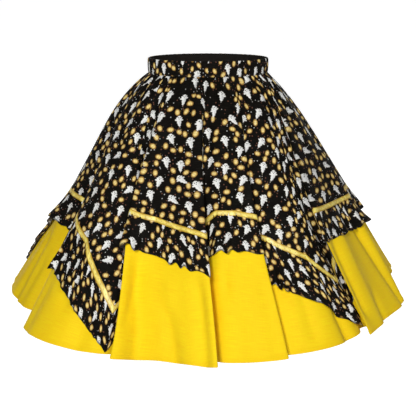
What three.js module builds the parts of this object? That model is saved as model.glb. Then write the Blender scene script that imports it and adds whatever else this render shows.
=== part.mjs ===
// Square dance skirt: a gathered print overskirt with four hanging corners,
// ruffled and ribbon-trimmed, worn over a longer yellow skirt.
// Millimetres. The skirt hangs as it is worn: +Z is up, the front faces -Y,
// and the origin is the middle of the waist opening.
import * as THREE from 'three';

// Waistband: an elastic casing, its wall pushed into small gathers.
const BAND_HALF_WIDTH = 121;
const BAND_HALF_DEPTH = 82;
const BAND_HEIGHT = 30;
const BAND_WALL = 2.4;
const BAND_GATHERS = 44;
const GATHER_DEPTH = 1.3;
const BAND_RISE = [0, 1];

// Both skirts leave the band along one line and hang from it.
const WAIST_HALF_WIDTH = 119;
const WAIST_HALF_DEPTH = 80;
const WAIST_START = -104;
const SEAM_GAP = 0.4;
const SKIRT_LENGTH = 538;
const HEM_DROP = 470;
const LEVEL_REACH = 395;
const HEM_LIFT = 0.25;
const PUFF = 19;
const PUFF_AT = 0.2;
const PUFF_LEAN = 0.2;
const SWAY = 5;
const LEVEL_TOP = 40;
const STRIDE = 4;

// Cloth layers: distances outwards from the middle of the yellow cloth.
const UNDER = { inside: -0.6, outside: 0.6 };
const OVER = { inside: 1.3, outside: 2.5 };
const RIBBON = { inside: 3.2, outside: 4.2 };

// Trim on the overskirt.
const RUFFLE_GAP = 0.8;
const STEEPEST = 1.6;
const RIBBON_WIDTH = 10;
const WAVE_HEIGHT = 5;
const WAVE_SLOPE = 0.25;
const WAVE = [0, 1];

// How finely each stretch of a flute is cut into columns, and where the
// rows lie on the overskirt, the ruffle and the yellow cloth below it.
const STEPS = { rise: 3, fall: 3, tuck: 2, hollow: 1, out: 2 };
const OVER_ROWS = [0, 0.12, 0.28, 0.5, 0.75, 1];
const RUFFLE_ROWS = [0, 0.5, 1];
const WAVE_GROWTH = [0, 0.35, 1];
const LOWER_ROWS = [0.5, 1];

// One row for each flute, from the left side past the front and round the back.
// Each list runs over the flute's left edge, crest and right edge; at and reach
// go on with the two sides of the hollow that follows. At: degrees from the
// front centre. Reach: from the axis at the hem. Edge: cloth length from the
// band to the overskirt's lower edge. Ruffle: how much of that is ruffle.
// Bow: how far the cloth stands to its right half way down. Ease: how far the
// print's edge, on the two sides of a hollow, has gone over to the next flute's.
const FLUTES = [
  { at: [-101, -90, -75, -69.7, -66.3], reach: [422, 423, 388, 322, 322],
    edge: [505, 352, 350], ruffle: [84, 68, 66], bow: [0, 0, 0] },
  { at: [-58, -45, -30, -26.7, -23.3], reach: [418, 421, 376, 316, 316],
    edge: [405, 444, 532], ruffle: [100, 100, 74], bow: [0, 0, -10], corner: true },
  { at: [-26, -16, 2.5, -3.7, -0.3], reach: [398, 354, 391, 320, 320],
    edge: [338, 350, 384], ruffle: [64, 66, 76], bow: [-34, -26, -12] },
  { at: [5, 14, 23, 16.3, 19.7], reach: [350, 365, 372, 314, 314],
    edge: [338, 337, 346], ruffle: [74, 72, 70], bow: [-12, -14, -14] },
  { at: [26, 39.5, 52.5, 58, 59.7], reach: [348, 372, 368, 354, 373],
    edge: [412, 456, 522], ruffle: [90, 92, 96], bow: [-14, -20, -50], corner: true,
    ease: [0.15, 0.35] },
  { at: [51.5, 66, 80, 90.3, 93.7], reach: [394, 390, 418, 336, 336],
    edge: [337, 344, 352], ruffle: [64, 64, 66], bow: [-52, -18, 0] },
  { at: [101, 108, 118, 121.3, 124.7], reach: [412, 444, 408, 326, 326],
    edge: [366, 368, 378], ruffle: [66, 66, 70], bow: [0, 0, 0] },
  { at: [130, 138, 147, 151.3, 154.7], reach: [394, 408, 390, 322, 322],
    edge: [424, 470, 525], ruffle: [88, 86, 84], bow: [0, 0, 0], corner: true },
  { at: [159, 168, 178, 182.3, 185.7], reach: [388, 402, 388, 320, 320],
    edge: [340, 344, 352], ruffle: [64, 64, 64], bow: [0, 0, 0] },
  { at: [191, 200, 210, 214.3, 217.7], reach: [388, 404, 390, 322, 322],
    edge: [350, 354, 362], ruffle: [64, 64, 66], bow: [0, 0, 0] },
  { at: [222, 231, 242, 246.3, 249.7], reach: [390, 406, 396, 324, 324],
    edge: [412, 466, 525], ruffle: [90, 84, 80], bow: [0, 0, 0], corner: true },
];
const PARTS = ['rise', 'fall', 'tuck', 'hollow', 'out'];

const radians = (degrees) => (degrees * Math.PI) / 180;
const mix = (a, b, share) => a + (b - a) * share;
const onPlan = (degrees, reach) =>
  new THREE.Vector3(reach * Math.sin(radians(degrees)), -reach * Math.cos(radians(degrees)), 0);

// Points that the hem passes through, seen from above. Each carries the
// overskirt's edge there and the number of columns up to the next point.
const stations = FLUTES.flatMap((flute, i) => {
  const next = FLUTES[(i + 1) % FLUTES.length];
  const between = (name, share) => mix(flute[name][2], next[name][0], share);
  return PARTS.map((part, k) => {
    const inHollow = k > 2;
    const share = k === 3 ? 0.45 : 0.55;
    const eased = inHollow && flute.ease ? flute.ease[k - 3] : share;
    return {
      at: onPlan(flute.at[k], flute.reach[k]),
      edge: inHollow ? between('edge', eased) : flute.edge[k],
      ruffle: inHollow ? between('ruffle', eased) : flute.ruffle[k],
      bow: inHollow ? between('bow', share) : flute.bow[k],
      steps: STEPS[part],
      corner: k === 2 && flute.corner === true,
    };
  });
});

const hemCurve = new THREE.CatmullRomCurve3(stations.map((s) => s.at), true, 'centripetal');

// Columns of cloth down the skirt. Each knows its place on the hem, the way
// the hem runs there and the length of overskirt on it.
const columns = stations.flatMap((station, i) => {
  const next = stations[(i + 1) % stations.length];
  return Array.from({ length: station.steps }, (_, k) => {
    const share = k / station.steps;
    const along = (i + share) / stations.length;
    return {
      hem: hemCurve.getPoint(along),
      heading: hemCurve.getTangent(along),
      edge: mix(station.edge, next.edge, share),
      ruffle: mix(station.ruffle, next.ruffle, share),
      bow: mix(station.bow, next.bow, share),
      corner: k === 0 && station.corner,
    };
  });
});
const COUNT = columns.length;

// Cloth length along the hem sets where each column leaves the waist.
const widths = columns.map((c, i) => c.hem.distanceTo(columns[(i + 1) % COUNT].hem));
const HEM_LENGTH = widths.reduce((sum, width) => sum + width, 0);
columns.forEach((column, i) => {
  const run = widths.slice(0, i).reduce((sum, width) => sum + width, 0);
  const turn = radians(WAIST_START + (360 * run) / HEM_LENGTH);
  column.width = (widths[i] + widths[(i + COUNT - 1) % COUNT]) / 2;
  column.waist = new THREE.Vector3(
    WAIST_HALF_WIDTH * Math.sin(turn), -WAIST_HALF_DEPTH * Math.cos(turn), 0,
  );
  column.waistHeading = new THREE.Vector3(
    WAIST_HALF_WIDTH * Math.cos(turn), WAIST_HALF_DEPTH * Math.sin(turn), 0,
  ).multiplyScalar((2 * Math.PI) / HEM_LENGTH);
  column.out = column.waist.clone().normalize();
  column.side = new THREE.Vector3(-column.out.y, column.out.x, 0);
  column.drop = HEM_DROP + HEM_LIFT * (LEVEL_REACH - column.hem.length());
});

// The middle of the yellow cloth on a column, a cloth length below the band.
// It puffs out under the gathers, most on its left, and bows and sways half
// way down.
function spine(column, length) {
  const share = length / SKIRT_LENGTH;
  const lean = 1 - (PUFF_LEAN * column.waist.x) / WAIST_HALF_WIDTH;
  const puff = PUFF * lean * (share / PUFF_AT) * Math.exp(1 - share / PUFF_AT);
  const middle = Math.sin(Math.PI * share) ** 2;
  const point = column.waist.clone().lerp(column.hem, share)
    .addScaledVector(column.out, puff)
    .addScaledVector(column.side, column.bow * middle);
  point.x += SWAY * middle;
  point.z = -BAND_HEIGHT / 2 - SEAM_GAP - share * column.drop;
  return point;
}

// The same, moved out square to the cloth.
function onColumn(index, length, off) {
  const column = columns[(index + COUNT) % COUNT];
  const share = length / SKIRT_LENGTH;
  const down = spine(column, length + STRIDE).sub(spine(column, length - STRIDE));
  const across = column.waistHeading.clone().multiplyScalar(1 - share)
    .addScaledVector(column.heading, share);
  const normal = down.cross(across).normalize();
  normal.z *= Math.min(1, length / LEVEL_TOP);
  return spine(column, length).addScaledVector(normal.normalize(), off);
}

// The same between two columns, on the straight line from one to the other.
function onCloth(place, length, off) {
  const index = Math.floor(place);
  const share = place - index;
  const here = onColumn(index, length(index), off);
  if (share === 0) return here;
  return here.lerp(onColumn(index + 1, length(index + 1), off), share);
}

// A closed wall between an inside and an outside grid of points. Columns run
// to the right seen from outside, rows run down.
function wall(name, colour, rows, inside, outside, ring = false) {
  const across = inside[0].length;
  const count = rows * across;
  const points = [...outside.flat(), ...inside.flat()];
  const out = (r, c) => r * across + (c % across);
  const inn = (r, c) => count + out(r, c);
  const faces = [];
  const quad = (a, b, c, d) => faces.push(a, b, c, a, c, d);
  const last = rows - 1;
  const span = ring ? across : across - 1;
  for (let c = 0; c < span; c += 1) {
    for (let r = 0; r < last; r += 1) {
      quad(out(r, c), out(r + 1, c), out(r + 1, c + 1), out(r, c + 1));
      quad(inn(r, c), inn(r, c + 1), inn(r + 1, c + 1), inn(r + 1, c));
    }
    quad(out(0, c), out(0, c + 1), inn(0, c + 1), inn(0, c));
    quad(out(last, c), inn(last, c), inn(last, c + 1), out(last, c + 1));
  }
  for (let r = 0; r < last && !ring; r += 1) {
    quad(inn(r, 0), inn(r + 1, 0), out(r + 1, 0), out(r, 0));
    quad(out(r, span), out(r + 1, span), inn(r + 1, span), inn(r, span));
  }
  const geometry = new THREE.BufferGeometry().setFromPoints(points);
  geometry.setIndex(faces);
  geometry.computeVertexNormals();
  const material = new THREE.MeshStandardMaterial({ color: colour, roughness: 0.85 });
  const mesh = new THREE.Mesh(geometry, material);
  mesh.name = name;
  return mesh;
}

// One cut piece of cloth between two columns: lengths gives its rows, and
// lift an extra distance out for each place and row.
function cutPiece(name, colour, layer, from, to, lengths, pieces = 1, lift = () => 0) {
  const places = Array.from({ length: (to - from) * pieces + 1 }, (_, k) => from + k / pieces);
  const side = (off) => lengths.map((length, row) => {
    const line = places.map((place) => onCloth(place, length, off + lift(place, row)));
    const end = line.length - 1;
    const ends = [line[0].clone(), line[end].clone()];
    const inset = (a, b) => b.clone().sub(a).setLength(SEAM_GAP / 2);
    line[0].add(inset(ends[0], line[1]));
    line[end].add(inset(ends[1], line[end - 1]));
    return line;
  });
  return wall(name, colour, lengths.length, side(layer.inside), side(layer.outside));
}

// Where the ribbon runs slantwise, its width square to itself takes up more
// of the length down a column.
const edgeOf = (index) => columns[(index + COUNT) % COUNT].edge;
const seamOf = (index) => edgeOf(index) - columns[(index + COUNT) % COUNT].ruffle;
function slantOf(index) {
  const share = seamOf(index) / SKIRT_LENGTH;
  const slope = (a, b) => Math.abs(seamOf(b) - seamOf(a)) / (widths[(a + COUNT) % COUNT] * share);
  const gentler = Math.min(slope(index - 1, index), slope(index, index + 1));
  return Math.min(STEEPEST, Math.hypot(1, gentler));
}
const fromSeam = (index, distance) => seamOf(index) + distance * slantOf(index);

const overLengths = OVER_ROWS.map((share) => (index) => fromSeam(index, -RUFFLE_GAP / 2) * share);
const ruffleLengths = RUFFLE_ROWS.map(
  (share) => (index) => mix(fromSeam(index, RUFFLE_GAP / 2), edgeOf(index), share),
);
const ribbonLengths = [-0.5, 0.5].map((side) => (index) => fromSeam(index, side * RIBBON_WIDTH));
const underLengths = [
  ...overLengths,
  ...ruffleLengths.slice(1),
  ...LOWER_ROWS.map((share) => (index) => mix(edgeOf(index), SKIRT_LENGTH, share)),
];

// The ruffle's waves stand out from the cloth and grow towards its edge.
function waveLift(place, row) {
  const index = Math.floor(place);
  const step = Math.round((place - index) * WAVE.length);
  const height = Math.min(WAVE_HEIGHT, WAVE_SLOPE * columns[index % COUNT].width);
  return WAVE[step % WAVE.length] * height * WAVE_GROWTH[row];
}

// Waistband: a gathered ring.
function waistband() {
  const rim = (off) => BAND_RISE.map((rise) =>
    Array.from({ length: BAND_GATHERS * 2 }, (_, k) => {
      const turn = (Math.PI * k) / BAND_GATHERS;
      const spread = off + (k % 2) * GATHER_DEPTH;
      return new THREE.Vector3(
        (BAND_HALF_WIDTH + spread) * Math.sin(turn),
        -(BAND_HALF_DEPTH + spread) * Math.cos(turn),
        BAND_HEIGHT * (0.5 - rise),
      );
    }));
  return wall('waistband', PRINT, BAND_RISE.length, rim(-BAND_WALL / 2), rim(BAND_WALL / 2), true);
}

const PRINT = 0x2a2119;
const YELLOW = 0xf2cb18;
const GOLD = 0xd9a92c;

// The corners part the cloth into four sides, cut and sewn one by one.
const corners = columns.flatMap((column, i) => (column.corner ? [i] : []));
const SIDES = ['front', 'right', 'back', 'left'];

const group = new THREE.Group();
group.name = 'square_dance_skirt';
group.add(waistband());
SIDES.forEach((side, i) => {
  const from = corners[i];
  const to = corners[(i + 1) % corners.length] + (i + 1 < corners.length ? 0 : COUNT);
  group.add(cutPiece(`underskirt_${side}`, YELLOW, UNDER, from, to, underLengths));
  group.add(cutPiece(`overskirt_${side}`, PRINT, OVER, from, to, overLengths));
  group.add(
    cutPiece(`ruffle_${side}`, PRINT, OVER, from, to, ruffleLengths, WAVE.length, waveLift),
  );
  group.add(cutPiece(`ribbon_${side}`, GOLD, RIBBON, from, to, ribbonLengths));
});

export default group;
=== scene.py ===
# %% [markdown]
# # A square dance skirt
# The skirt is two wide fans of cotton gathered on one elastic waist: a black print
# overskirt that hangs to four corners, and a longer yellow skirt under it. The imported part
# gives their solids, and this script dresses them in cloth. We load it first.

# %% Load the imported part
import math
import bpy
import numpy as np
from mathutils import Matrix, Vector


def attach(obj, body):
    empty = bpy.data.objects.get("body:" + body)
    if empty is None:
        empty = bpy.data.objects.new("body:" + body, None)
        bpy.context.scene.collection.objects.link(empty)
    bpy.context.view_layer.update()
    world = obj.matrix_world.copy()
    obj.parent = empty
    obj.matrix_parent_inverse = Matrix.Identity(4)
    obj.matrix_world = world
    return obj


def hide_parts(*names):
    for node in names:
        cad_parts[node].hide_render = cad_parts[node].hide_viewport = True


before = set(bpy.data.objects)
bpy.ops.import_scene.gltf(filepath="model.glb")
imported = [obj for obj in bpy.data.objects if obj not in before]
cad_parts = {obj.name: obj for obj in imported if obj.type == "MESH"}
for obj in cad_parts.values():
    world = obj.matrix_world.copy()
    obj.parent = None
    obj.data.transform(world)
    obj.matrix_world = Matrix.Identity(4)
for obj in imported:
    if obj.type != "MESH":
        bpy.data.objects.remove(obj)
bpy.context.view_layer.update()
SIDES = ["front", "right", "back", "left"]
print("nodes:", sorted(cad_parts))

# %% [markdown]
# ## Mixing paint with sums
# A woven or printed surface is a sum of small patterns, and sums are easiest to read as
# sums. `Wire` wraps a node's socket, so that `1 - mask * 0.5` adds the Math nodes that it
# says: a short table gives the node's operation for each sign. `Paint` holds one material,
# or the sky, and makes every other node from its type, its settings and the values or wires
# that go into it.

# %% Paint and Wire


class Wire:
    def __init__(self, paint, socket):
        self.paint, self.socket = paint, socket

    def sum(self, operation, *values):
        return self.paint.add("Math", {"operation": operation}, dict(enumerate(values)))

    def __rsub__(self, other):
        return self.sum("SUBTRACT", other, self)


OPERATIONS = [
    ("__add__", "ADD"), ("__radd__", "ADD"), ("__sub__", "SUBTRACT"), ("__mul__", "MULTIPLY"),
    ("__truediv__", "DIVIDE"), ("__pow__", "POWER"), ("__abs__", "ABSOLUTE"),
    ("__lt__", "LESS_THAN"), ("__gt__", "GREATER_THAN"), ("most", "MAXIMUM"),
    ("least", "MINIMUM"), ("sine", "SINE"), ("cosine", "COSINE")]
for method, operation in OPERATIONS:
    setattr(Wire, method, lambda self, *others, operation=operation: self.sum(
        operation, self, *others))


class Paint:
    def __init__(self, name, kind="materials"):
        self.material = getattr(bpy.data, kind).new(name)
        self.material.use_nodes = True
        self.tree = self.material.node_tree
        self.tree.nodes.clear()

    def add(self, kind, settings=None, values=None, out=0):
        """A node of that type. Settings go in first, then values or wires by socket."""
        node = self.tree.nodes.new("ShaderNode" + kind)
        for key, value in (settings or {}).items():
            if key == "stops":
                ramp = node.color_ramp
                while len(ramp.elements) < len(value):
                    ramp.elements.new(1)
                for element, (place, colour) in zip(ramp.elements, value):
                    element.position, element.color = place, colour
            else:
                setattr(node, key, value)
        for key, value in (values or {}).items():
            if isinstance(value, Wire):
                self.tree.links.new(value.socket, node.inputs[key])
            else:
                node.inputs[key].default_value = value
        if isinstance(out, tuple):
            return [Wire(self, node.outputs[name]) for name in out]
        return Wire(self, node.outputs[out]) if len(node.outputs) else None

    def mix(self, share, first, second):
        """Two colours mixed by a share. A Mix node has sockets of its own for each type of
        value: colours go into 6 and 7 and come out of 2."""
        return self.add("Mix", {"data_type": "RGBA"}, {0: share, 6: first, 7: second}, out=2)

    def flat(self, label):
        """The two coordinates of a UV map, in metres."""
        uv = self.add("UVMap", {"uv_map": label})
        return uv, self.add("SeparateXYZ", values={0: uv}, out=("X", "Y"))

    def vector(self, x, y):
        return self.add("CombineXYZ", values={0: x, 1: y})

    def finish(self, colour, rough, height, bump, depth, **constants):
        """The cloth's shader with its bump, and constants on its own sockets."""
        normal = self.add("Bump", values={"Height": height, "Strength": bump,
                                          "Distance": depth})
        shader = self.add("BsdfPrincipled", values={
            "Base Color": colour, "Roughness": rough, "Normal": normal, **constants})
        self.add("OutputMaterial", values={"Surface": shader})


print("paint helpers ready")

# %% [markdown]
# ## Camera, floor and light
# The skirt was pictured from the front and a little above, from about two metres away.
# A lens of 80 mm on a 36 mm sensor gives that frame at 416 by 416 pixels. The floor is one
# very large white plane well below the hem, so that it fills the whole view. It glows, but
# throws no light on the cloth, because so wide a glow would wash out the folds. A dim sky
# fills them a little. One strong lamp at the front left and a weaker one at the front right
# give their shade, and two light the back.

# %% Camera
PHOTO_SIZE = 416
FOCAL_PIXELS = 931
SENSOR = 36.0
CAMERA_PLACE = (0.0, -1.9, 0.208)
CAMERA_PITCH = 15

camera_data = bpy.data.cameras.new("camera")
camera_data.sensor_width = SENSOR
camera_data.lens = FOCAL_PIXELS / PHOTO_SIZE * SENSOR
camera_data.clip_end = 200
camera = bpy.data.objects.new("camera", camera_data)
camera.location = CAMERA_PLACE
camera.rotation_euler = (math.radians(90 - CAMERA_PITCH), 0, 0)
bpy.context.collection.objects.link(camera)
bpy.context.scene.camera = camera
bpy.context.scene.view_settings.view_transform = "Standard"
print("lens in mm:", round(camera_data.lens, 2))

# %% Floor and light
FLOOR_LEVEL = -0.95
FLOOR_HALF = 80
FLOOR_GLOW = 0.97
FLOOR_GREY = (0.3, 0.3, 0.3, 1)
SKY_LOW, SKY_HIGH = (0.20, 0.20, 0.20, 1), (0.09, 0.09, 0.09, 1)
LOOKED_AT = (0, 0, -0.25)
floor_mesh = bpy.data.meshes.new("floor")
floor_mesh.from_pydata(
    [(x * FLOOR_HALF, y * FLOOR_HALF, FLOOR_LEVEL) for x, y in
     ((-1, -1), (1, -1), (1, 1), (-1, 1))], [], [(0, 1, 2, 3)])
floor = bpy.data.objects.new("floor", floor_mesh)
bpy.context.collection.objects.link(floor)
floor_paint = Paint("pale_floor")
floor_paint.add("OutputMaterial", values={"Surface": floor_paint.add("BsdfPrincipled", values={
    "Base Color": FLOOR_GREY, "Roughness": 0.9, "Emission Color": (1, 1, 1, 1),
    "Emission Strength": FLOOR_GLOW})})
floor_mesh.materials.append(floor_paint.material)
floor.visible_diffuse = False

sky = Paint("sky", "worlds")
skyward = sky.add("SeparateXYZ", values={0: sky.add("TexCoord", out=("Generated",))[0]},
                  out=("Z",))[0]
dome = sky.add("ValToRGB", {"stops": [(0.08, SKY_LOW), (0.30, SKY_HIGH)]}, {0: skyward})
sky.add("OutputWorld", values={"Surface": sky.add("Background", values={"Color": dome})})
bpy.context.scene.world = sky.material


def lamp(name, place, size, power):
    """A square area lamp that looks at the skirt. Size in metres, power in watts."""
    data = bpy.data.lights.new(name, "AREA")
    data.size, data.energy = size, power
    made = bpy.data.objects.new(name, data)
    made.location = place
    made.rotation_euler = (Vector(LOOKED_AT) - Vector(place)).to_track_quat("-Z", "Y").to_euler()
    bpy.context.collection.objects.link(made)


lamp("left_lamp", (-0.45, -2.5, 0.9), 0.4, 47)
lamp("front_lamp", (0.9, -2.5, 0.6), 0.8, 20)
lamp("back_left_lamp", (-0.9, 2.4, 1.0), 0.8, 38)
lamp("back_right_lamp", (0.9, 2.4, 1.0), 0.8, 38)
print("floor at", FLOOR_LEVEL, "and four lamps made")

# %% [markdown]
# ## The drape
# Cloth cut much wider at the hem than at the waist falls in flutes. Seen from above the
# hem is one smooth closed curve that swings out at each crest and back in each hollow. We
# give the curve five points a flute, the same that shape the solids, and let every thread
# of cloth run from the waist ellipse to its place on that curve. Both skirts, the ruffle
# and the ribbon are then the same surface at different distances out, so they can never
# cut each other.

# %% Numbers of the drape, in millimetres and degrees
WAIST_HALF_WIDTH, WAIST_HALF_DEPTH, WAIST_START = 119, 80, -104
BAND_HALF_WIDTH, BAND_HALF_DEPTH, BAND_HEIGHT = 121, 82, 30
SEAM_GAP, SKIRT_LENGTH, HEM_DROP = 0.4, 538, 470
LEVEL_REACH, HEM_LIFT = 395, 0.25
PUFF, PUFF_AT, PUFF_LEAN, SWAY = 19, 0.2, 0.2, 5
LEVEL_TOP, STRIDE = 40, 4

# One row a flute: left edge, crest, right edge, and the two sides of the hollow after it.
# At: degrees from the front centre. Reach: from the axis at the hem. Edge: cloth length
# down to the overskirt's lower edge. Ruffle: how much of that is ruffle. Bow: how far the
# cloth stands to its right half way down. Ease: how far the print's edge, on the two sides
# of a hollow, has gone over to the next flute's.
FLUTES = [
    dict(at=[-101, -90, -75, -69.7, -66.3], reach=[422, 423, 388, 322, 322],
         edge=[505, 352, 350], ruffle=[84, 68, 66], bow=[0, 0, 0]),
    dict(at=[-58, -45, -30, -26.7, -23.3], reach=[418, 421, 376, 316, 316],
         edge=[405, 444, 532], ruffle=[100, 100, 74], bow=[0, 0, -10], corner=True),
    dict(at=[-26, -16, 2.5, -3.7, -0.3], reach=[398, 354, 391, 320, 320],
         edge=[338, 350, 384], ruffle=[64, 66, 76], bow=[-34, -26, -12]),
    dict(at=[5, 14, 23, 16.3, 19.7], reach=[350, 365, 372, 314, 314],
         edge=[338, 337, 346], ruffle=[74, 72, 70], bow=[-12, -14, -14]),
    dict(at=[26, 39.5, 52.5, 58, 59.7], reach=[348, 372, 368, 354, 373],
         edge=[412, 456, 522], ruffle=[90, 92, 96], bow=[-14, -20, -50], corner=True,
         ease=[0.15, 0.35]),
    dict(at=[51.5, 66, 80, 90.3, 93.7], reach=[394, 390, 418, 336, 336],
         edge=[337, 344, 352], ruffle=[64, 64, 66], bow=[-52, -18, 0]),
    dict(at=[101, 108, 118, 121.3, 124.7], reach=[412, 444, 408, 326, 326],
         edge=[366, 368, 378], ruffle=[66, 66, 70], bow=[0, 0, 0]),
    dict(at=[130, 138, 147, 151.3, 154.7], reach=[394, 408, 390, 322, 322],
         edge=[424, 470, 525], ruffle=[88, 86, 84], bow=[0, 0, 0], corner=True),
    dict(at=[159, 168, 178, 182.3, 185.7], reach=[388, 402, 388, 320, 320],
         edge=[340, 344, 352], ruffle=[64, 64, 64], bow=[0, 0, 0]),
    dict(at=[191, 200, 210, 214.3, 217.7], reach=[388, 404, 390, 322, 322],
         edge=[350, 354, 362], ruffle=[64, 64, 66], bow=[0, 0, 0]),
    dict(at=[222, 231, 242, 246.3, 249.7], reach=[390, 406, 396, 324, 324],
         edge=[412, 466, 525], ruffle=[90, 84, 80], bow=[0, 0, 0], corner=True),
]
PARTS = 5


def station_values(name):
    """One value for each point of the hem: the flute's own three, then two in the hollow."""
    values = []
    for flute, following in zip(FLUTES, FLUTES[1:] + FLUTES[:1]):
        a, b = flute[name][2], following[name][0]
        ease = flute.get("ease", [0.45, 0.55]) if name != "bow" else [0.45, 0.55]
        values += flute[name][:3] + [a + (b - a) * share for share in ease]
    return np.array(values, float)


turn_at = np.radians(np.concatenate([flute["at"] for flute in FLUTES]))
reach_at = np.concatenate([flute["reach"] for flute in FLUTES]).astype(float)
hem_points = np.stack([reach_at * np.sin(turn_at), -reach_at * np.cos(turn_at)], 1)
STATIONS = len(hem_points)
print("points on the hem:", STATIONS)

# %% [markdown]
# The solids were made with a centripetal Catmull-Rom curve, which passes through all its
# points without loops. Blender has no such curve, so we work out the same sums here, for
# any number of places at once.

# %% The hem curve


def hem_curve(place):
    """Points and headings of the closed hem at places counted in stations."""
    first = np.floor(place).astype(int)
    share = (place - first)[:, None]
    p0, p1, p2, p3 = (hem_points[(first + k) % STATIONS] for k in (-1, 0, 1, 2))
    gap = [np.sqrt(np.linalg.norm(b - a, axis=1))[:, None]
           for a, b in ((p0, p1), (p1, p2), (p2, p3))]
    start = ((p1 - p0) / gap[0] - (p2 - p0) / (gap[0] + gap[1]) + (p2 - p1) / gap[1]) * gap[1]
    stop = ((p2 - p1) / gap[1] - (p3 - p1) / (gap[1] + gap[2]) + (p3 - p2) / gap[2]) * gap[1]
    square = -3 * p1 + 3 * p2 - 2 * start - stop
    cube = 2 * p1 - 2 * p2 + start + stop
    point = p1 + share * (start + share * (square + share * cube))
    heading = start + share * (2 * square + 3 * share * cube)
    return point, heading / np.linalg.norm(heading, axis=1, keepdims=True)


FINE = np.linspace(0, STATIONS, STATIONS * 60 + 1)
fine_points = hem_curve(FINE)[0]
fine_run = np.concatenate([[0], np.cumsum(np.linalg.norm(np.diff(fine_points, axis=0), axis=1))])
HEM_LENGTH = fine_run[-1]
print("hem length in metres:", round(HEM_LENGTH / 1000, 3))

# %% [markdown]
# A place on the cloth is a station number and a cloth length below the band. `Threads`
# holds everything that belongs to the threads running down from the waist: where each
# one starts, where it ends and how the print's edge lies on it.

# %% Threads down the skirt


def ring_values(values, place):
    """Values given at the stations, read between them round the closed ring."""
    return np.interp(place % STATIONS, np.arange(STATIONS + 1), np.append(values, values[0]))


class Threads:
    def __init__(self, place):
        self.place = place
        self.hem, self.heading = hem_curve(place)
        self.run = np.interp(place, FINE, fine_run)
        self.turn = np.radians(WAIST_START) + 2 * np.pi * self.run / HEM_LENGTH
        sine, cosine = np.sin(self.turn), np.cos(self.turn)
        self.waist = np.stack([WAIST_HALF_WIDTH * sine, -WAIST_HALF_DEPTH * cosine], 1)
        self.waist_heading = np.stack(
            [WAIST_HALF_WIDTH * cosine, WAIST_HALF_DEPTH * sine], 1) * 2 * np.pi / HEM_LENGTH
        self.out = self.waist / np.linalg.norm(self.waist, axis=1, keepdims=True)
        self.side = np.stack([-self.out[:, 1], self.out[:, 0]], 1)
        self.drop = HEM_DROP + HEM_LIFT * (LEVEL_REACH - np.linalg.norm(self.hem, axis=1))
        self.edge = ring_values(station_values("edge"), place)
        self.ruffle = ring_values(station_values("ruffle"), place)
        self.bow = ring_values(station_values("bow"), place)


def spine(threads, length):
    """The middle of the yellow cloth: length is rows by threads."""
    share = length / SKIRT_LENGTH
    lean = 1 - PUFF_LEAN * threads.waist[:, 0] / WAIST_HALF_WIDTH
    puff = PUFF * lean * share / PUFF_AT * np.exp(1 - share / PUFF_AT)
    middle = np.sin(np.pi * share) ** 2
    flat = (threads.waist + (threads.hem - threads.waist) * share[..., None]
            + threads.out * puff[..., None] + threads.side * (threads.bow * middle)[..., None])
    flat[..., 0] += SWAY * middle
    height = -BAND_HEIGHT / 2 - SEAM_GAP - share * threads.drop
    return np.concatenate([flat, height[..., None]], -1)


def square_out(threads, length):
    """The way out, square to the cloth, levelled close to the band."""
    down = spine(threads, length + STRIDE) - spine(threads, length - STRIDE)
    share = (length / SKIRT_LENGTH)[..., None]
    across = threads.waist_heading * (1 - share) + threads.heading * share
    across = np.concatenate([across, np.zeros_like(across[..., :1])], -1)
    normal = np.cross(down, across)
    normal /= np.linalg.norm(normal, axis=-1, keepdims=True)
    normal[..., 2] *= np.clip(length / LEVEL_TOP, 0, 1)
    return normal / np.linalg.norm(normal, axis=-1, keepdims=True)


threads = Threads(np.linspace(0, STATIONS, 56)[:-1])
print("first thread starts and ends at", threads.waist[0].round(), threads.hem[0].round())

# %% [markdown]
# ## Gathers and soft folds
# The elastic pulls the cloth into small gathers: rounded ridges with narrow creases between
# them, uneven in width, some short and some running far down. Below them the cloth swells
# and sinks in broad soft folds. Both are written as one height over the smooth drape, so
# that every layer takes the same folds and lies on the one below. In a flat pleat the
# cloth lies on itself three times, so the height fades out there and leaves room for it.

# %% Relief of the folds
rng = np.random.default_rng(7)

# Lengths are in mm. The gathers run down from the band, the broad folds lie below them and
# the low ones near the hem. A crease grows and ends over a short length.
GATHERS, GATHER_DEPTH = 62, 4.2
GATHER_REACH, REACH_VARIES = 60, 26
BROAD_DEPTH, BROAD_AT, BROAD_SPREAD = 2.6, 110, 95
LOW_DEPTH, LOW_AT, LOW_SPREAD = 2.2, 400, 150
CREASE_GROWS, CREASE_ENDS = 60, 40
TURNED_BACK = -0.05

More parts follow.
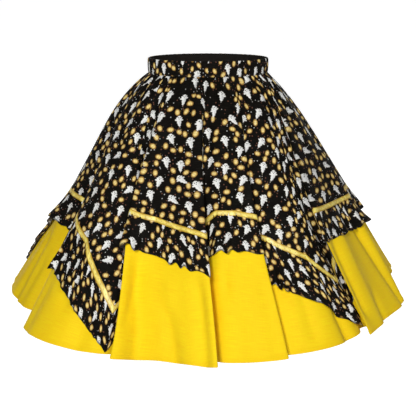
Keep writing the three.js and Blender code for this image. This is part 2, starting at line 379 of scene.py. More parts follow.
# One row a soft crease: its place at the top and at the bottom, the cloth lengths between
# which it lies, its half width and its depth in mm (a ridge where the depth is negative).
CREASES = [
    (0.75, 0.60, 330, 560, 12, 5.0), (1.40, 1.55, 350, 590, 14, 10.0),
    (1.80, 1.75, 400, 590, 10, 5.0), (5.35, 5.25, 400, 575, 16, 5.0),
    (5.80, 6.10, 300, 500, 18, 4.5), (6.60, 6.45, 420, 590, 20, 8.0),
    (10.52, 10.76, 330, 620, 22, 18.0), (10.62, 10.30, 360, 500, 9, 5.5),
    (11.10, 11.42, 410, 620, 13, 10.0), (11.25, 11.10, 370, 520, 16, -4.0),
    (11.66, 11.70, 360, 600, 15, 10.0), (15.30, 15.22, 340, 440, 14, 5.0),
    (15.85, 15.95, 400, 600, 20, 4.0), (16.60, 16.50, 360, 560, 18, 3.5),
    (20.55, 20.60, 330, 540, 15, 5.0), (21.38, 21.62, 430, 620, 14, 12.0),
    (25.40, 25.34, 310, 520, 11, 8.0), (25.68, 25.66, 290, 600, 20, -6.0),
    (25.95, 25.86, 450, 600, 12, 6.0), (26.42, 26.92, 280, 600, 16, 13.0),
    (30.60, 30.75, 330, 590, 15, 7.0), (31.40, 31.30, 400, 600, 12, 5.5),
    (35.50, 35.62, 360, 600, 17, 7.0), (36.30, 36.15, 320, 520, 14, 5.5),
    (40.40, 40.60, 340, 590, 15, 7.0), (41.30, 41.20, 420, 600, 13, 6.0),
    (45.60, 45.45, 330, 590, 16, 7.0), (46.20, 46.45, 400, 600, 13, 5.5),
    (50.50, 50.70, 340, 600, 15, 7.5), (51.40, 51.30, 410, 600, 14, 5.5),
]


def uneven(turn, slowest, fastest, rough):
    """A smooth random line round the skirt, about -1 to 1, that closes on itself."""
    total = np.zeros_like(turn)
    for count in range(slowest, fastest + 1):
        total += np.cos(count * turn + rough.uniform(0, 2 * np.pi)) * rough.uniform(0.5, 1)
    return total / math.sqrt((fastest - slowest + 1) * 0.6)


def run_of(place):
    """Length along the hem, in mm, from the first station to a place."""
    return np.interp(place, FINE, fine_run)


def crease_relief(place, length):
    """Height of the listed creases, in mm."""
    run, total = run_of(place), 0 * length
    for top, bottom, start, stop, width, depth in CREASES:
        share = np.clip((length - start) / (stop - start), 0, 1)
        away = run - run_of(top + (bottom - top) * share)
        fade = (np.clip((length - start) / CREASE_GROWS, 0, 1)
                * np.clip((stop - length) / CREASE_ENDS, 0, 1))
        fade = fade * fade * (3 - 2 * fade)
        total = total - depth * fade * np.exp(-np.abs(away / width) ** 1.7)
    return total


def relief_of(turn, length):
    """Height of gathers and soft folds in mm. length is rows by threads."""
    rough = np.random.default_rng(3)
    phase = GATHERS * turn + 1.6 * uneven(turn, 5, 20, rough)
    reach = GATHER_REACH + REACH_VARIES * uneven(turn, 9, 30, rough)
    strength = np.clip(0.85 + 0.35 * uneven(turn, 7, 24, rough), 0.2, 1.6)
    crease = (0.5 + 0.5 * np.cos(phase)) ** 2.5
    fade = np.exp(-(length / np.clip(reach, 25, 130)) ** 2) * np.clip(length / 6 + 0.35, 0, 1)
    relief = -GATHER_DEPTH * strength * crease * fade
    broad = uneven(turn, 16, 26, rough)
    relief += BROAD_DEPTH * broad * np.exp(-((length - BROAD_AT) / BROAD_SPREAD) ** 2)
    low = uneven(turn + 0.02 * np.sin(length / 120), 22, 34, rough)
    relief += LOW_DEPTH * low * np.exp(-((length - LOW_AT) / LOW_SPREAD) ** 2)
    return relief


def open_share(threads, length, spread):
    """0 inside a flat pleat, where the cloth turns back on itself, and 1 where it is open."""
    normal = square_out(threads, length)
    facing = normal[..., 0] * threads.out[:, 0] + normal[..., 1] * threads.out[:, 1]
    folded = facing < TURNED_BACK
    for _ in range(spread):
        folded = folded | np.roll(folded, 1, 1) | np.roll(folded, -1, 1)
    share = 1.0 - folded
    for _ in range(spread):
        share = (np.roll(share, 1, 1) + 2 * share + np.roll(share, -1, 1)) / 4
    return share


def folds(threads, length, spread):
    """Height of all the folds in mm, and how open the cloth lies."""
    wide = open_share(threads, length, spread)
    near = open_share(threads, length, spread // 4)
    return (relief_of(threads.turn, length) * wide
            + crease_relief(threads.place, length) * near, wide)


sample = relief_of(threads.turn, np.linspace(0, SKIRT_LENGTH, 30)[:, None])
print("relief runs from", sample.min().round(1), "to", sample.max().round(1), "mm")

# %% [markdown]
# ## From grids to cloth
# Each piece of cloth is a thin closed shell: an outside grid, an inside grid a cloth's
# thickness behind it, and a narrow rim. Two UV maps go with it. "cut" is the flat cloth
# before it was sewn, in metres, and carries the print and the weave. "edge" runs along an
# edge or seam and down from it, and carries hems and stitches.

# %% Shell maker
MM = 0.001


def shell(name, outside, inside, maps):
    """A thin sheet all round the skirt. Grids are rows by threads in mm; maps give left and
    right values for each strip between two threads, in metres."""
    rows, across = outside.shape[:2]
    count = rows * across
    r = np.arange(rows - 1)[:, None]
    c = np.arange(across)[None, :]
    a, b = r * across + c, r * across + (c + 1) % across
    outer = np.stack([a, a + across, b + across, b], -1).reshape(-1, 4)
    inner = np.stack([a, b, b + across, a + across], -1).reshape(-1, 4) + count
    a, b = a[0], b[0]
    top = np.stack([a, b, b + count, a + count], -1)
    low = (rows - 1) * across
    bottom = np.stack([a + low, a + low + count, b + low + count, b + low], -1)
    vertices = np.concatenate([outside.reshape(-1, 3), inside.reshape(-1, 3)]) * MM
    mesh = bpy.data.meshes.new(name)
    mesh.from_pydata(vertices, [], np.concatenate([outer, inner, top, bottom]))
    for label, (left, right) in maps.items():
        l0, l1, r0, r1 = left[:-1], left[1:], right[:-1], right[1:]
        parts = [np.stack([l0, l1, r1, r0], 2), np.stack([l0, r0, r1, l1], 2),
                 np.stack([left[0], right[0], right[0], left[0]], 1),
                 np.stack([left[-1], left[-1], right[-1], right[-1]], 1)]
        flat = np.concatenate([part.reshape(-1, 2) for part in parts])
        mesh.uv_layers.new(name=label).data.foreach_set("uv", flat.ravel().astype(np.float32))
    behind = np.zeros(len(mesh.polygons), np.int32)
    behind[len(outer):len(outer) + len(inner)] = 1
    mesh.polygons.foreach_set("material_index", behind)
    mesh.polygons.foreach_set("use_smooth", np.ones(len(mesh.polygons), bool))
    mesh.set_sharp_from_angle(angle=math.radians(55))
    mesh.validate()
    piece = bpy.data.objects.new(name, mesh)
    bpy.context.collection.objects.link(piece)
    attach(piece, "root")
    print(name, "has", 2 * len(mesh.polygons), "triangles")
    return piece


# %% [markdown]
# The waist must pass over the hips before the elastic draws it in, so the cloth is cut
# wider there than it lies. On a flat panel the threads fan out from the waist: a place is
# a distance from the fan's middle and an angle from the panel's own middle. The print has
# one panel a side and stands upright down its middle. The yellow is pieced from three
# narrower gores a side, so that its crosswise threads run nearly level all round.

# %% The cut of a panel
corner_places = np.array([i * PARTS + 2 for i, flute in enumerate(FLUTES) if flute.get("corner")])
corner_runs = np.interp(corner_places, FINE, fine_run)
WAIST_CUT = 980
FAN = (HEM_LENGTH - WAIST_CUT) / SKIRT_LENGTH
CUT_RADIUS = WAIST_CUT / FAN
PANEL_SHIFT, SHIFT_SLANT = 1.7, 0.37  # in metres, and how much of it is down the cloth
print("corners at runs of", corner_runs.round(), "mm; the fan is", round(math.degrees(FAN)),
      "degrees in all; radius of the waist's cut", round(CUT_RADIUS), "mm")


def panel_of(run_middle, gores):
    """Which gore a strip belongs to, and the run of that gore's middle."""
    ends = np.append(corner_runs, corner_runs[0] + HEM_LENGTH)
    seams = np.concatenate([np.linspace(a, b, gores + 1)[:-1] for a, b in zip(ends, ends[1:])])
    seams = np.append(seams, ends[-1])
    place = corner_runs[0] + (run_middle - corner_runs[0]) % HEM_LENGTH
    index = np.clip(np.searchsorted(seams, place, side="right") - 1, 0, len(seams) - 2)
    return index, (seams[index] + seams[index + 1]) / 2 - (place - run_middle)


def panel_map(run, length, gores=1):
    """Cut map in metres: left and right values of each strip. A run has one place more
    than there are strips. Each panel is moved to another part of the print."""
    index, middle = panel_of((run[:-1] + run[1:]) / 2, gores)
    radius = CUT_RADIUS + length
    shift = index * PANEL_SHIFT
    values = []
    for side_run, side_radius in ((run[:-1], radius), (run[1:], np.roll(radius, -1, 1))):
        angle = FAN * (side_run - middle) / HEM_LENGTH
        across, down = side_radius * np.sin(angle) * MM, -side_radius * np.cos(angle) * MM
        values.append(np.stack([across + shift, down + shift * SHIFT_SLANT], -1))
    return values


def strip_map(run, height, fullness=1):
    """A straight strip's map in metres: along it, and a height for each row. A strip that
    is gathered to the run was longer when it was cut, by its fullness."""
    return [np.stack([np.broadcast_to(along * fullness * MM, side.shape), side * MM], -1)
            for along, side in ((run[:-1], height), (run[1:], np.roll(height, -1, 1)))]


# %% [markdown]
# ## The yellow underskirt
# On the real skirt this is a longer skirt of plain cotton with a narrow turned hem. Its
# lower third shows, so it needs the deepest folds and the cleanest edge. We lay it on its
# solid, thin it to a cloth and thicken the last eight millimetres, where the hem is folded.
# Under the print it lies two millimetres further in, clear of the overskirt's creases.

# %% Threads of the skirts
SKIRT_STEPS = [16, 16, 10, 9, 12]
skirt_places = np.concatenate([
    station + np.arange(SKIRT_STEPS[station % PARTS]) / SKIRT_STEPS[station % PARTS]
    for station in range(STATIONS)])
skirt = Threads(skirt_places)
skirt_run = np.append(skirt.run, HEM_LENGTH)
print("threads round the skirt:", len(skirt_places))


def layer(threads, length, off, relief):
    """A grid of points a distance out from the yellow cloth's middle."""
    return spine(threads, length) + square_out(threads, length) * (off + relief)[..., None]


def rows_down(shares):
    """Shares of a length as a column, one row of the grid each."""
    return np.asarray(shares, float)[:, None]


# %% Underskirt
HEM_DEPTH = 8
under_rows = np.concatenate([np.linspace(0, 1, 60) ** 1.05 * (1 - HEM_DEPTH / SKIRT_LENGTH),
                             1 - np.array([HEM_DEPTH - 0.5, 5, 2.5, 1, 0.4, 0]) / SKIRT_LENGTH])
under_length = rows_down(under_rows) * SKIRT_LENGTH * np.ones(len(skirt_places))
under_relief, under_open = folds(skirt, under_length, 12)
hem_swell = 0.35 * np.clip((under_length - SKIRT_LENGTH + HEM_DEPTH) / 1.5, 0, 1)
hem_round = 0.5 * np.clip((under_length - SKIRT_LENGTH + 1) / 1, 0, 1) ** 2
covered = np.clip((skirt.edge - skirt.ruffle * 0.6 - under_length) / 40, 0, 1)
tuck_in = -2.0 * covered * np.clip(under_length / 30, 0, 1) * under_open
underskirt = shell(
    "underskirt",
    layer(skirt, under_length, tuck_in + 0.35 + hem_swell - hem_round, under_relief),
    layer(skirt, under_length, tuck_in - 0.25 - hem_swell + hem_round, under_relief),
    {"cut": panel_map(skirt_run, under_length, gores=3),
     "edge": strip_map(skirt_run, SKIRT_LENGTH - under_length)})
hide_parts(*[f"underskirt_{side}" for side in SIDES])

# %% [markdown]
# ## The print overskirt
# It is the same fan of cloth, cut away between the four corners. Its lower edge is the
# ruffle's seam, so the grid's rows are shares of the length down to that seam. It stands
# a little further off the yellow cloth towards the bottom, as the ruffle props it out.

# %% Overskirt
seam_length = skirt.edge - skirt.ruffle
over_rows = np.linspace(0, 1, 60) ** 1.05
over_length = rows_down(over_rows) * (seam_length + 1)
over_relief, over_open = folds(skirt, over_length, 12)
stand_off = 1.5 * np.clip((over_rows[:, None] - 0.5) * 2, 0, 1) ** 1.5 * over_open
overskirt = shell(
    "overskirt",
    layer(skirt, over_length, 2.3 + stand_off, over_relief),
    layer(skirt, over_length, 1.6 + stand_off, over_relief),
    {"cut": panel_map(skirt_run, over_length),
     "edge": strip_map(skirt_run, over_length)})
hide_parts(*[f"overskirt_{side}" for side in SIDES])

# %% [markdown]
# ## The ruffle
# A strip a quarter longer than the seam is gathered onto it. Close to the seam it puckers in
# small gathers; towards its overlocked edge these open into waves that flip in and out. We
# give it three times as many threads and let the waves grow from seam to edge.

# %% Ruffle
RUFFLE_FULLNESS = 1.25
SEAM_OUT = 3.0
ruffle_places = (skirt_places[:, None] + np.arange(3) / 3
                 * np.diff(np.append(skirt_places, STATIONS))[:, None]).ravel()
frill = Threads(ruffle_places)
frill_seam = frill.edge - frill.ruffle
seam_line = layer(frill, frill_seam[None, :], np.full((1, len(frill.run)), SEAM_OUT),
                  relief_of(frill.turn, frill_seam[None, :]))[0]
steps = np.linalg.norm(np.roll(seam_line, -1, 0) - seam_line, axis=1)
seam_run = np.concatenate([[0], np.cumsum(steps)])
SEAM_LENGTH = seam_run[-1]
print("ruffle seam in metres:", round(SEAM_LENGTH / 1000, 3))

WAVES, WAVE_LIFT = 128, 8.0
PUCKERS, PUCKER_LIFT = 430, 1.3
FLARES = ((1.25, 0.45, 9), (27.3, 0.5, 16))
frill_turn = 2 * np.pi * seam_run[:-1] / SEAM_LENGTH
wave_phase = WAVES * frill_turn + 3.4 * uneven(frill_turn, 12, 44, rng)
wave_size = np.clip(0.7 + 0.5 * uneven(frill_turn, 20, 60, rng), 0.1, 1.7)
wave_size = wave_size * (1 - 0.8 * np.exp(-((frill.place - 6.5) / 0.6) ** 2))
flare = sum(size * np.exp(-((frill.place - place) / width) ** 2) for place, width, size in FLARES)
pucker_phase = PUCKERS * frill_turn + 2.0 * uneven(frill_turn, 30, 90, rng)
ruffle_rows = rows_down([0, 0.06, 0.14, 0.24, 0.36, 0.48, 0.6, 0.72, 0.82, 0.9, 0.96, 1])


def frill_lift(share):
    """How far the ruffle stands off: puckers at the seam, waves towards the edge."""
    wave = (0.5 + 0.5 * np.sin(wave_phase + 0.5 * share)) ** 1.4
    pucker = 0.5 + 0.5 * np.sin(pucker_phase)
    small = 0.5 + 0.5 * np.sin(pucker_phase * 0.5 + 1)
    return (2.6 + 1.4 * share + WAVE_LIFT * wave_size * wave * share ** 1.1
            + PUCKER_LIFT * pucker * np.exp(-(share / 0.3) ** 2)
            + 1.2 * small * share * (1.2 - share) + flare * share ** 2)


edge_wave = 3.4 * np.sin(wave_phase + 1.2) * wave_size + 1.4 * uneven(frill_turn, 8, 24, rng)
ruffle_length = (frill_seam - 1 + ruffle_rows * (frill.ruffle + 1)
                 + ruffle_rows ** 3 * edge_wave)
ruffle_relief, ruffle_open = folds(frill, ruffle_length, 36)
lift = 2.2 + (frill_lift(ruffle_rows) - 2.2) * ruffle_open

fall = ruffle_rows * frill.ruffle
ruffle = shell(
    "ruffle",
    layer(frill, ruffle_length, lift + 0.3, ruffle_relief),
    layer(frill, ruffle_length, lift - 0.3, ruffle_relief),
    {"cut": strip_map(seam_run, -fall, RUFFLE_FULLNESS),
     "edge": strip_map(seam_run, frill.ruffle - fall)})
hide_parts(*[f"ruffle_{side}" for side in SIDES])

# %% [markdown]
# ## The ribbon
# A satin ribbon a centimetre wide hides the ruffle's seam. It is sewn flat along both
# edges and puckers a little where the cloth under it does. Where the seam slants its
# width takes up more of the length down a thread, so the width is divided by the slant.

# %% Ribbon
RIBBON_WIDTH = 10
STEEPEST = 1.6
slope = np.abs(np.roll(frill_seam, -1) - frill_seam) / np.maximum(steps, 0.2)
slope = np.clip(slope, 0, 0.78)
for _ in range(6):
    slope = (np.roll(slope, 1) + 2 * slope + np.roll(slope, -1)) / 4
slant = np.minimum(STEEPEST, 1 / np.sqrt(1 - slope ** 2))
ribbon_rows = rows_down([-0.5, -0.46, -0.3, 0, 0.3, 0.46, 0.5])
ribbon_length = frill_seam + ribbon_rows * RIBBON_WIDTH * slant
ribbon_across = ribbon_rows * RIBBON_WIDTH * np.ones(len(frill.run))
ribbon_relief, ribbon_open = folds(frill, ribbon_length, 36)
ripple = 0.35 * np.sin(pucker_phase * 0.5) * np.cos(np.pi * ribbon_rows * 0.9)
ribbon_lift = 3.3 + (0.7 + ripple + 0.25 * np.cos(np.pi * ribbon_rows)) * ribbon_open
ribbon = shell(
    "ribbon",
    layer(frill, ribbon_length, ribbon_lift + 0.2, ribbon_relief),
    layer(frill, ribbon_length, ribbon_lift - 0.25, ribbon_relief),
    {"cut": strip_map(seam_run, ribbon_across),
     "edge": strip_map(seam_run, ribbon_across)})
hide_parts(*[f"ribbon_{side}" for side in SIDES])

# %% [markdown]
# ## The waistband
# A strip of the print is folded over wide elastic. The elastic draws it into close upright
# gathers, its top edge is the fold and its lower edge is pulled in by the seam. The casing
# is a closed ring whose section is a flat rounded loop, pushed in and out by the gathers.
# Its inside is given plain black cotton as painted shade, for the shadow inside the casing.

# %% Waistband
BAND_THREADS = 660
BAND_GATHERS = 66
BAND_RADIUS = 102
BAND_FULLNESS = 1.5
BAND_SHIFT = 7.3  # in metres, to a part of the print that no panel shows
band_turn = np.arange(BAND_THREADS) / BAND_THREADS * 2 * np.pi
band_phase = BAND_GATHERS * band_turn + 1.3 * uneven(band_turn, 6, 24, rng)
band_size = np.clip(0.8 + 0.35 * uneven(band_turn, 9, 40, rng), 0.3, 1.4)
band_ridge = (1 - (0.5 + 0.5 * np.cos(band_phase)) ** 2) * band_size
section = [(-16.0, 0.2), (-15.4, 0.6), (-13.5, 0.8), (-9, 1.2), (-4, 1.4), (2, 1.5), (7, 1.5),
           (11, 1.4), (13.6, 1.1), (14.7, 0.6), (15.0, -0.1)]
back_section = [(-16.0, -0.4), (-15.0, -1.0), (-9, -1.3), (2, -1.3), (11, -1.2), (14, -1.0),
                (14.8, -0.6)]


def band_grid(profile, ridged):
    """A row of points round the band for each height and distance out of a profile."""
    heights = np.array([z for z, _ in profile])[:, None] * np.ones(BAND_THREADS)
    off = np.array([d for _, d in profile])[:, None] * np.ones(BAND_THREADS)
    swell = np.clip(1.2 - np.abs(heights / 15) ** 6, 0.35, 1)
    off = off + (1.3 * band_ridge * swell if ridged else -0.4 * band_ridge * swell)
    heights = heights + np.where(heights > 14, 0.25 * (band_ridge - 0.6), 0)
    sine, cosine = np.sin(band_turn), np.cos(band_turn)
    return np.stack([(BAND_HALF_WIDTH - 1.2 + off) * sine,
                     -(BAND_HALF_DEPTH - 1.2 + off) * cosine, heights], -1)


def loop(name, grid, maps, shade_from_row):
    """A closed ring whose section is itself a loop: rows wrap round to the first."""
    rows, across = grid.shape[:2]
    r, c = np.arange(rows)[:, None], np.arange(across)[None, :]
    a, b = r * across + c, r * across + (c + 1) % across
    a2, b2 = ((r + 1) % rows) * across + c, ((r + 1) % rows) * across + (c + 1) % across
    faces = np.stack([a, b, b2, a2], -1).reshape(-1, 4)
    mesh = bpy.data.meshes.new(name)
    mesh.from_pydata(grid.reshape(-1, 3) * MM, [], faces)
    for label, (along, over) in maps.items():
        u0 = np.broadcast_to(along[:-1], (rows, across))
        u1 = np.broadcast_to(along[1:], (rows, across))
        v0 = np.broadcast_to(over[:-1, None], (rows, across))
        v1 = np.broadcast_to(over[1:, None], (rows, across))
        flat = np.stack([np.stack([u0, v0], -1), np.stack([u1, v0], -1),
                         np.stack([u1, v1], -1), np.stack([u0, v1], -1)], 2)
        mesh.uv_layers.new(name=label).data.foreach_set("uv", flat.ravel().astype(np.float32))
    mesh.polygons.foreach_set("use_smooth", np.ones(len(mesh.polygons), bool))
    # the band's inside rows take the second material, a black painted shade
    shaded_rows = np.repeat(np.arange(rows) >= shade_from_row, across).astype(np.int32)
    mesh.polygons.foreach_set("material_index", shaded_rows)
    piece = bpy.data.objects.new(name, mesh)
    bpy.context.collection.objects.link(piece)
    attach(piece, "root")
    print(name, "has", 2 * len(mesh.polygons), "triangles")
    return piece


band_grid_all = np.concatenate([band_grid(section, True), band_grid(back_section, False)[::-1]])
band_over = np.array([z for z, _ in section] + [30 - z for z, _ in back_section[::-1]] + [45.0])
band_round = 2 * np.pi * BAND_RADIUS * BAND_FULLNESS
waistband = loop("waistband_cloth", band_grid_all, {
    "cut": (np.linspace(0, band_round, BAND_THREADS + 1) * MM, band_over * MM + BAND_SHIFT),
    "edge": (np.linspace(0, band_round, BAND_THREADS + 1) * MM, band_over * MM)},
    shade_from_row=len(section))
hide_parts("waistband")

# %% [markdown]
# ## Yellow cotton
# The underskirt is a bright plain cotton whose crosswise threads are a little uneven, so
# that fine pale and dark slubs run round it. The weave itself is finer than a pixel and
# only softens the light. The folded hem is doubled, so it is a shade deeper, with one row
# of matching stitches six millimetres up.

# %% Yellow cotton
YELLOW_DEEP = (0.92, 0.57, 0.003, 1)
YELLOW_PALE = (0.97, 0.74, 0.008, 1)
HEM_FOLD, HEM_STITCH = 0.0078, 0.0062
STITCH_HALF, STITCH_LENGTH = 0.0005, 0.0026


def weave(across, down, pitch):
    """Height of a plain weave, 0 to 1, from the two flat coordinates."""
    over = (across * (2 * math.pi / pitch)).sine()
    under = (down * (2 * math.pi / pitch)).sine()
    return over * under * 0.25 + 0.5


def slubs(paint, across, down, length, thickness, detail=2.0):
    """Uneven threads: noise stretched along the cloth."""
    place = paint.vector(across * (1 / length), down * (1 / thickness))
    return paint.add("TexNoise", {"noise_dimensions": "2D"},
                     {"Vector": place, "Scale": 1.0, "Detail": detail, "Roughness": 0.6})


def yellow_cotton():
    paint = Paint("yellow_cotton")
    _, (across, down) = paint.flat("cut")
    _, (along, from_hem) = paint.flat("edge")
    weft = slubs(paint, across, down, 0.03, 0.0011)
    warp = slubs(paint, across, down, 0.0016, 0.03)
    cloud = paint.add("TexNoise", {"noise_dimensions": "2D"},
                      {"Vector": paint.vector(across, down), "Scale": 9.0, "Detail": 3.0})
    hem = from_hem < HEM_FOLD
    stitch_row = abs(from_hem - HEM_STITCH) < STITCH_HALF
    dash = (along * (2 * math.pi / STITCH_LENGTH)).sine() > -0.35
    stitch = stitch_row * dash
    tone = (weft - 0.5) * 1.3 + (warp - 0.5) * 0.4 + (cloud - 0.5) * 0.5 + 0.5
    colour = paint.mix(tone, YELLOW_DEEP, YELLOW_PALE)
    colour = paint.mix(hem * 0.35, colour, YELLOW_DEEP)
    colour = paint.mix(stitch * 0.6, colour, YELLOW_PALE)
    height = (weave(across, down, 0.0008) * 0.5 + weft * 0.9 + warp * 0.3
              + hem * 0.5 - stitch_row * 0.8 + stitch * 0.6)
    paint.finish(colour, 0.72 + (weft - 0.5) * 0.2, height, 0.5, 0.0005,
                 **{"Sheen Weight": 0.03, "Sheen Roughness": 0.5, "Specular IOR Level": 0.12})
    return paint.material


yellow = yellow_cotton()
underskirt.data.materials.append(yellow)
underskirt.data.materials.append(yellow)
print("yellow cotton on", underskirt.name)

# %% [markdown]
# ## The print
# The overskirt is a black cotton strewn with small autumn motifs: ribbed pumpkins, little
# sheet ghosts and pale dots. All are drawn here from plain curves. A Voronoi pattern
# strews the middles of the ghosts four centimetres apart. A closer one strews the pumpkins
# between them, each as wide as its nearest neighbour leaves room for.

# %% Motifs of the print
PITCH = 0.0186
SPREAD = 0.46
TURN = 0.47
GHOST_PITCH = 0.0400
GHOST_SCALE = 1.30
GHOST_ROOM = 15.0
DOT_PITCH = 0.0062
DOT_GREY, DOT_BROWN = (0.62, 0.62, 0.6, 1), (0.13, 0.055, 0.035, 1)
INK = (0.0032, 0.0026, 0.0016, 1)
PUMPKIN = (0.80, 0.60, 0.18, 1)
PUMPKIN_EDGE = (0.28, 0.14, 0.035, 1)
PUMPKIN_LIGHT = (0.95, 0.84, 0.42, 1)
GHOST = (0.80, 0.80, 0.77, 1)
GHOST_SHADE = (0.36, 0.37, 0.39, 1)
STEM = (0.10, 0.07, 0.02, 1)


def strewn(paint, place, feature="F1", spread=SPREAD, out=("Distance", "Color", "Position")):
    """Cells strewn over the cloth, one motif in the middle of each."""
    return paint.add("TexVoronoi", {"voronoi_dimensions": "2D", "feature": feature},
                     {"Vector": place, "Scale": 1.0, "Randomness": spread}, out=out)


def soft(value, width):
    """1 inside a shape and 0 outside, from its signed distance in mm."""
    return (0.5 - value / width).least(1.0).most(0.0)


def split(paint, tint):
    """Two chances between 0 and 1 from a cell's colour."""
    return paint.add("SeparateColor", values={0: tint}, out=("Green", "Blue"))


def upright_frame(paint, place, middle, lean, pitch):
    """Where a point lies beside its motif's middle, in mm, turned to the motif's lean."""
    away = paint.add("VectorMath", {"operation": "SUBTRACT"}, {0: place, 1: middle})
    away_x, away_y = paint.add("SeparateXYZ", values={0: away}, out=("X", "Y"))
    cosine, sine = lean.cosine(), lean.sine()
    return ((away_x * cosine + away_y * sine) * (pitch * 1000),
            (away_y * cosine - away_x * sine) * (pitch * 1000))


def print_motifs(paint):
    """Colour and raised-ink height of the print on the cut map."""
    uv, _ = paint.flat("cut")
    turned = paint.add("VectorRotate", {"rotation_type": "Z_AXIS"}, {"Vector": uv, "Angle": TURN})
    scale = {"operation": "SCALE"}
    place = paint.add("VectorMath", scale, {0: turned, "Scale": 1 / PITCH})
    distance, tint, middle = strewn(paint, place)
    room = strewn(paint, middle, "F2", out=("Distance",))[0]
    lean_chance, girth_chance = split(paint, tint)
    lean = (lean_chance - 0.5) * 3.8 + TURN
    x, y = upright_frame(paint, place, middle, lean, PITCH)

    wide_place = paint.add("VectorMath", scale, {0: turned, "Scale": 1 / GHOST_PITCH})
    _, wide_tint, wide_middle = strewn(paint, wide_place)
    at_pumpkin = paint.add("VectorMath", scale, {0: middle, "Scale": PITCH / GHOST_PITCH})
    clear = strewn(paint, at_pumpkin, out=("Distance",))[0] * (GHOST_PITCH * 1000) > GHOST_ROOM

    girth = (room * (PITCH * 520)).least(6.5 + girth_chance * 1.0).most(4.4)
    across = x / girth
    upright = (y + 0.2) / (girth * 0.70)
    body = (across * across + upright * upright) ** 0.5
    pumpkin = soft((body - 1) * girth, 0.5)
    rim = soft((body - 0.74) * girth, 1.5)
    curve = (1.02 - upright * upright).most(0.04) ** 0.5
    rib = abs((across / curve * 4.6).sine()) ** 0.6
    stem = soft(abs(x - 0.3) - 0.8, 0.4) * soft(abs(y - girth * 0.85) - 1.5, 0.4)
    colour_a = paint.mix(rib * 0.75 + 0.25, PUMPKIN_EDGE, PUMPKIN)
    gleam = soft(abs(across + 0.1) + abs(upright) - 0.45, 0.7)
    colour_a = paint.mix(gleam * 0.55, colour_a, PUMPKIN_LIGHT)
    colour_a = paint.mix(rim, PUMPKIN_EDGE, colour_a)
    colour_a = paint.mix(stem, colour_a, STEM)
    mask_a = pumpkin.most(stem) * clear

    lean_chance, bend_chance = split(paint, wide_tint)
    x, y = upright_frame(paint, wide_place, wide_middle, (lean_chance - 0.5) * 1.1 + TURN,
                         GHOST_PITCH)
    x, y = x / GHOST_SCALE, y / GHOST_SCALE
    bend = x - (6.0 - y) * (6.0 - y) * (bend_chance - 0.5) * 0.05
    head = (bend * bend + (y - 4.8) * (y - 4.8)) ** 0.5 - 3.3
    drop = ((y + 9.0) / 13.5).most(0.0).least(1.0)
    sheet_half = drop ** 0.5 * 4.7 + (y * 1.7).sine() * 0.35
    sheet = (abs(bend) - sheet_half).most(y - 5.4)
    arm_x = abs(bend) - 4.7
    arm = (arm_x * arm_x * 0.4 + (y - 1.6) * (y - 1.6)) ** 0.5 - 1.25
    ghost = soft(head.least(sheet).least(arm), 0.5)
    eye_x = abs(bend) - 1.3
    eye = soft((eye_x * eye_x + (y - 5.2) * (y - 5.2) * 0.45) ** 0.5 - 0.6, 0.35)
    mouth = soft((bend * bend + (y - 3.0) * (y - 3.0)) ** 0.5 - 0.65, 0.35)
    fold = soft(abs(bend - 0.8) - 0.3, 0.8) * (y < 0.5) + soft(1.9 - bend, 1.6) * 0.5
    colour_b = paint.mix((fold * 0.6).least(1.0), GHOST, GHOST_SHADE)
    colour_b = paint.mix(eye.most(mouth), colour_b, INK)

    mask = ghost.most(mask_a)
    colour = paint.mix(ghost, colour_a, colour_b)

    fine = paint.add("VectorMath", scale, {0: uv, "Scale": 1 / DOT_PITCH})
    dot_distance, dot_tint = strewn(paint, fine, spread=0.9, out=("Distance", "Color"))
    dot_chance = paint.add("SeparateColor", values={0: dot_tint}, out=("Red",))[0]
    size = 0.95 + (dot_chance > 0.14) * 0.5 - dot_chance * 0.6
    dot = soft(dot_distance * (DOT_PITCH * 1000) - size, 0.35)
    dot = dot * (distance > 0.36) * (dot_chance < 0.36) * (1 - mask)
    dot_colour = paint.mix(dot_chance > 0.14, DOT_GREY, DOT_BROWN)
    base = paint.mix(mask, INK, colour)
    return paint.mix(dot, base, dot_colour), mask.most(dot)


# %% Print cotton, face and back
OVERLOCK, LOOP_PITCH, DASH_PITCH = 0.003, 0.0016, 0.0028


def print_cotton(name, edge_band=0.0, stitches=(), back=False):
    """The printed cotton. edge_band: overlocked width from the edge map's zero."""
    paint = Paint(name)
    _, (across, down) = paint.flat("cut")
    _, (along, from_edge) = paint.flat("edge")
    colour, ink = print_motifs(paint)
    weft = slubs(paint, across, down, 0.02, 0.0012)
    worn = paint.add("TexNoise", {"noise_dimensions": "2D"},
                     {"Vector": paint.vector(across, down), "Scale": 14.0, "Detail": 4.0})
    colour = paint.mix((weft - 0.5).most(0.0) * 0.05, colour, (0.5, 0.48, 0.44, 1))
    colour = paint.mix((worn - 0.55).most(0.0) * 0.05, colour, (0.4, 0.38, 0.36, 1))
    if back:
        colour = paint.mix(0.45, colour, (0.23, 0.20, 0.18, 1))
    height = weave(across, down, 0.0007) * 0.5 + weft * 0.5 + ink * 0.12
    if edge_band:
        band = from_edge < edge_band
        loops = (along * (2 * math.pi / LOOP_PITCH)).sine() * 0.5 + 0.5
        colour = paint.mix(band * (loops * 0.35 + 0.55), colour, (0.012, 0.010, 0.009, 1))
        height = height + band * (loops * 1.2 + 0.4)
    for row in stitches:
        line = abs(from_edge - row) < 0.0004
        dash = (along * (2 * math.pi / DASH_PITCH)).sine() > -0.3
        colour = paint.mix(line * dash * 0.5, colour, (0.05, 0.045, 0.04, 1))
        height = height - line * 0.9 + line * dash * 0.6
    paint.finish(colour, 0.78 - ink * 0.08, height, 0.45, 0.0005,
                 **{"Specular IOR Level": 0.06})
    return paint.material


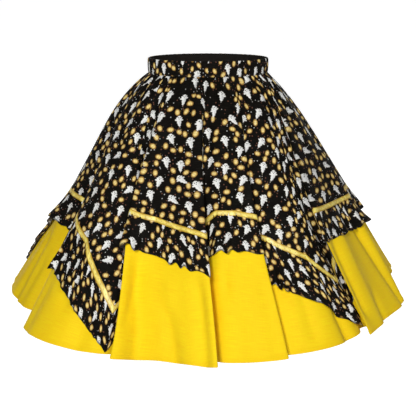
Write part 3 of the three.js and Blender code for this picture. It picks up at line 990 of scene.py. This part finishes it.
def painted_shade_lining():
    """Plain black cotton inside the waistband, as painted shade for the casing's shadowed inside.
    """
    paint = Paint("painted_shade_lining")
    _, (across, down) = paint.flat("cut")
    weft = slubs(paint, across, down, 0.02, 0.0012)
    colour = paint.mix(weft, INK, (0.016, 0.014, 0.013, 1))
    height = weave(across, down, 0.0008) * 0.5 + weft * 0.5
    paint.finish(colour, 0.8, height, 0.45, 0.0005, **{"Specular IOR Level": 0.08})
    return paint.material


print_face = print_cotton("print_cotton")
print_back = print_cotton("print_cotton_back", back=True)
ruffle_face = print_cotton("print_ruffle", edge_band=OVERLOCK)
ruffle_back = print_cotton("print_ruffle_back", edge_band=OVERLOCK, back=True)
band_cloth = print_cotton("print_band", stitches=(-0.0135,))
for piece, face, wrong in ((overskirt, print_face, print_back),
                           (ruffle, ruffle_face, ruffle_back)):
    piece.data.materials.append(face)
    piece.data.materials.append(wrong)
waistband.data.materials.append(band_cloth)
# the band's inside is painted black, as painted shade
waistband.data.materials.append(painted_shade_lining())
print("print cotton on overskirt, ruffle and waistband")

# %% [markdown]
# ## Gold ribbon
# The ribbon is a polyester satin: long floats along it give a bright, slightly streaked
# gloss, and both edges are corded. Its colour also carries painted sheen and shade: bright
# and dark patches, lighter streaks along the floats and a painted highlight down the middle.
# It is sewn down along each edge, and small faint stitches a centimetre apart dot its
# middle.

# %% Gold satin
GOLD = (0.90, 0.62, 0.03, 1)
GOLD_HIGHLIGHT = (1.0, 0.90, 0.26, 1)
GOLD_DEEP = (0.50, 0.29, 0.012, 1)
CORD_FROM, SEWN_AT, SPOT_PITCH = 0.0040, 0.0038, 0.011


def gold_satin():
    paint = Paint("gold_satin")
    _, (along, over) = paint.flat("cut")
    floats = slubs(paint, along, over, 0.03, 0.0007)
    sheen_patches = slubs(paint, along, over, 0.016, 0.012, detail=3.0)
    # painted sheen and shade: bright and dark patches, and lighter streaks along the floats
    colour = paint.mix((sheen_patches - 0.35) * 2.4, GOLD_DEEP, GOLD)
    colour = paint.mix((sheen_patches - 0.52).most(0.0) * 5.0, colour, GOLD_HIGHLIGHT)
    colour = paint.mix((floats - 0.5).most(0.0) * 0.8, colour, GOLD_HIGHLIGHT)
    # a painted highlight down the middle of the ribbon
    middle = soft(abs(over) * 1000 - 2.4, 2.0)
    colour = paint.mix(middle * 0.55, colour, GOLD_HIGHLIGHT)
    cord = abs(over) > CORD_FROM
    sewn = abs(abs(over) - SEWN_AT) < 0.0003
    dash = (along * (2 * math.pi / STITCH_LENGTH)).sine() > -0.2
    repeat = (along * (2 * math.pi / SPOT_PITCH)).cosine()
    spot = soft((over * 1000) * (over * 1000) + (1 - repeat) * 3.1 - 1.1, 0.5)
    colour = paint.mix(cord * 0.85, colour, GOLD_DEEP)
    colour = paint.mix(sewn * dash * 0.5, colour, GOLD_DEEP)
    colour = paint.mix(spot * 0.4, colour, (0.30, 0.11, 0.008, 1))
    height = floats * 0.5 + cord * 0.9 - sewn * 0.6 + spot * 0.5
    paint.finish(colour, 0.34 + (floats - 0.5) * 0.25, height, 0.4, 0.0004,
                 **{"Specular IOR Level": 0.4, "Sheen Weight": 0.04, "Sheen Roughness": 0.3})
    return paint.material


satin = gold_satin()
ribbon.data.materials.append(satin)
ribbon.data.materials.append(satin)
print("gold satin on", ribbon.name)
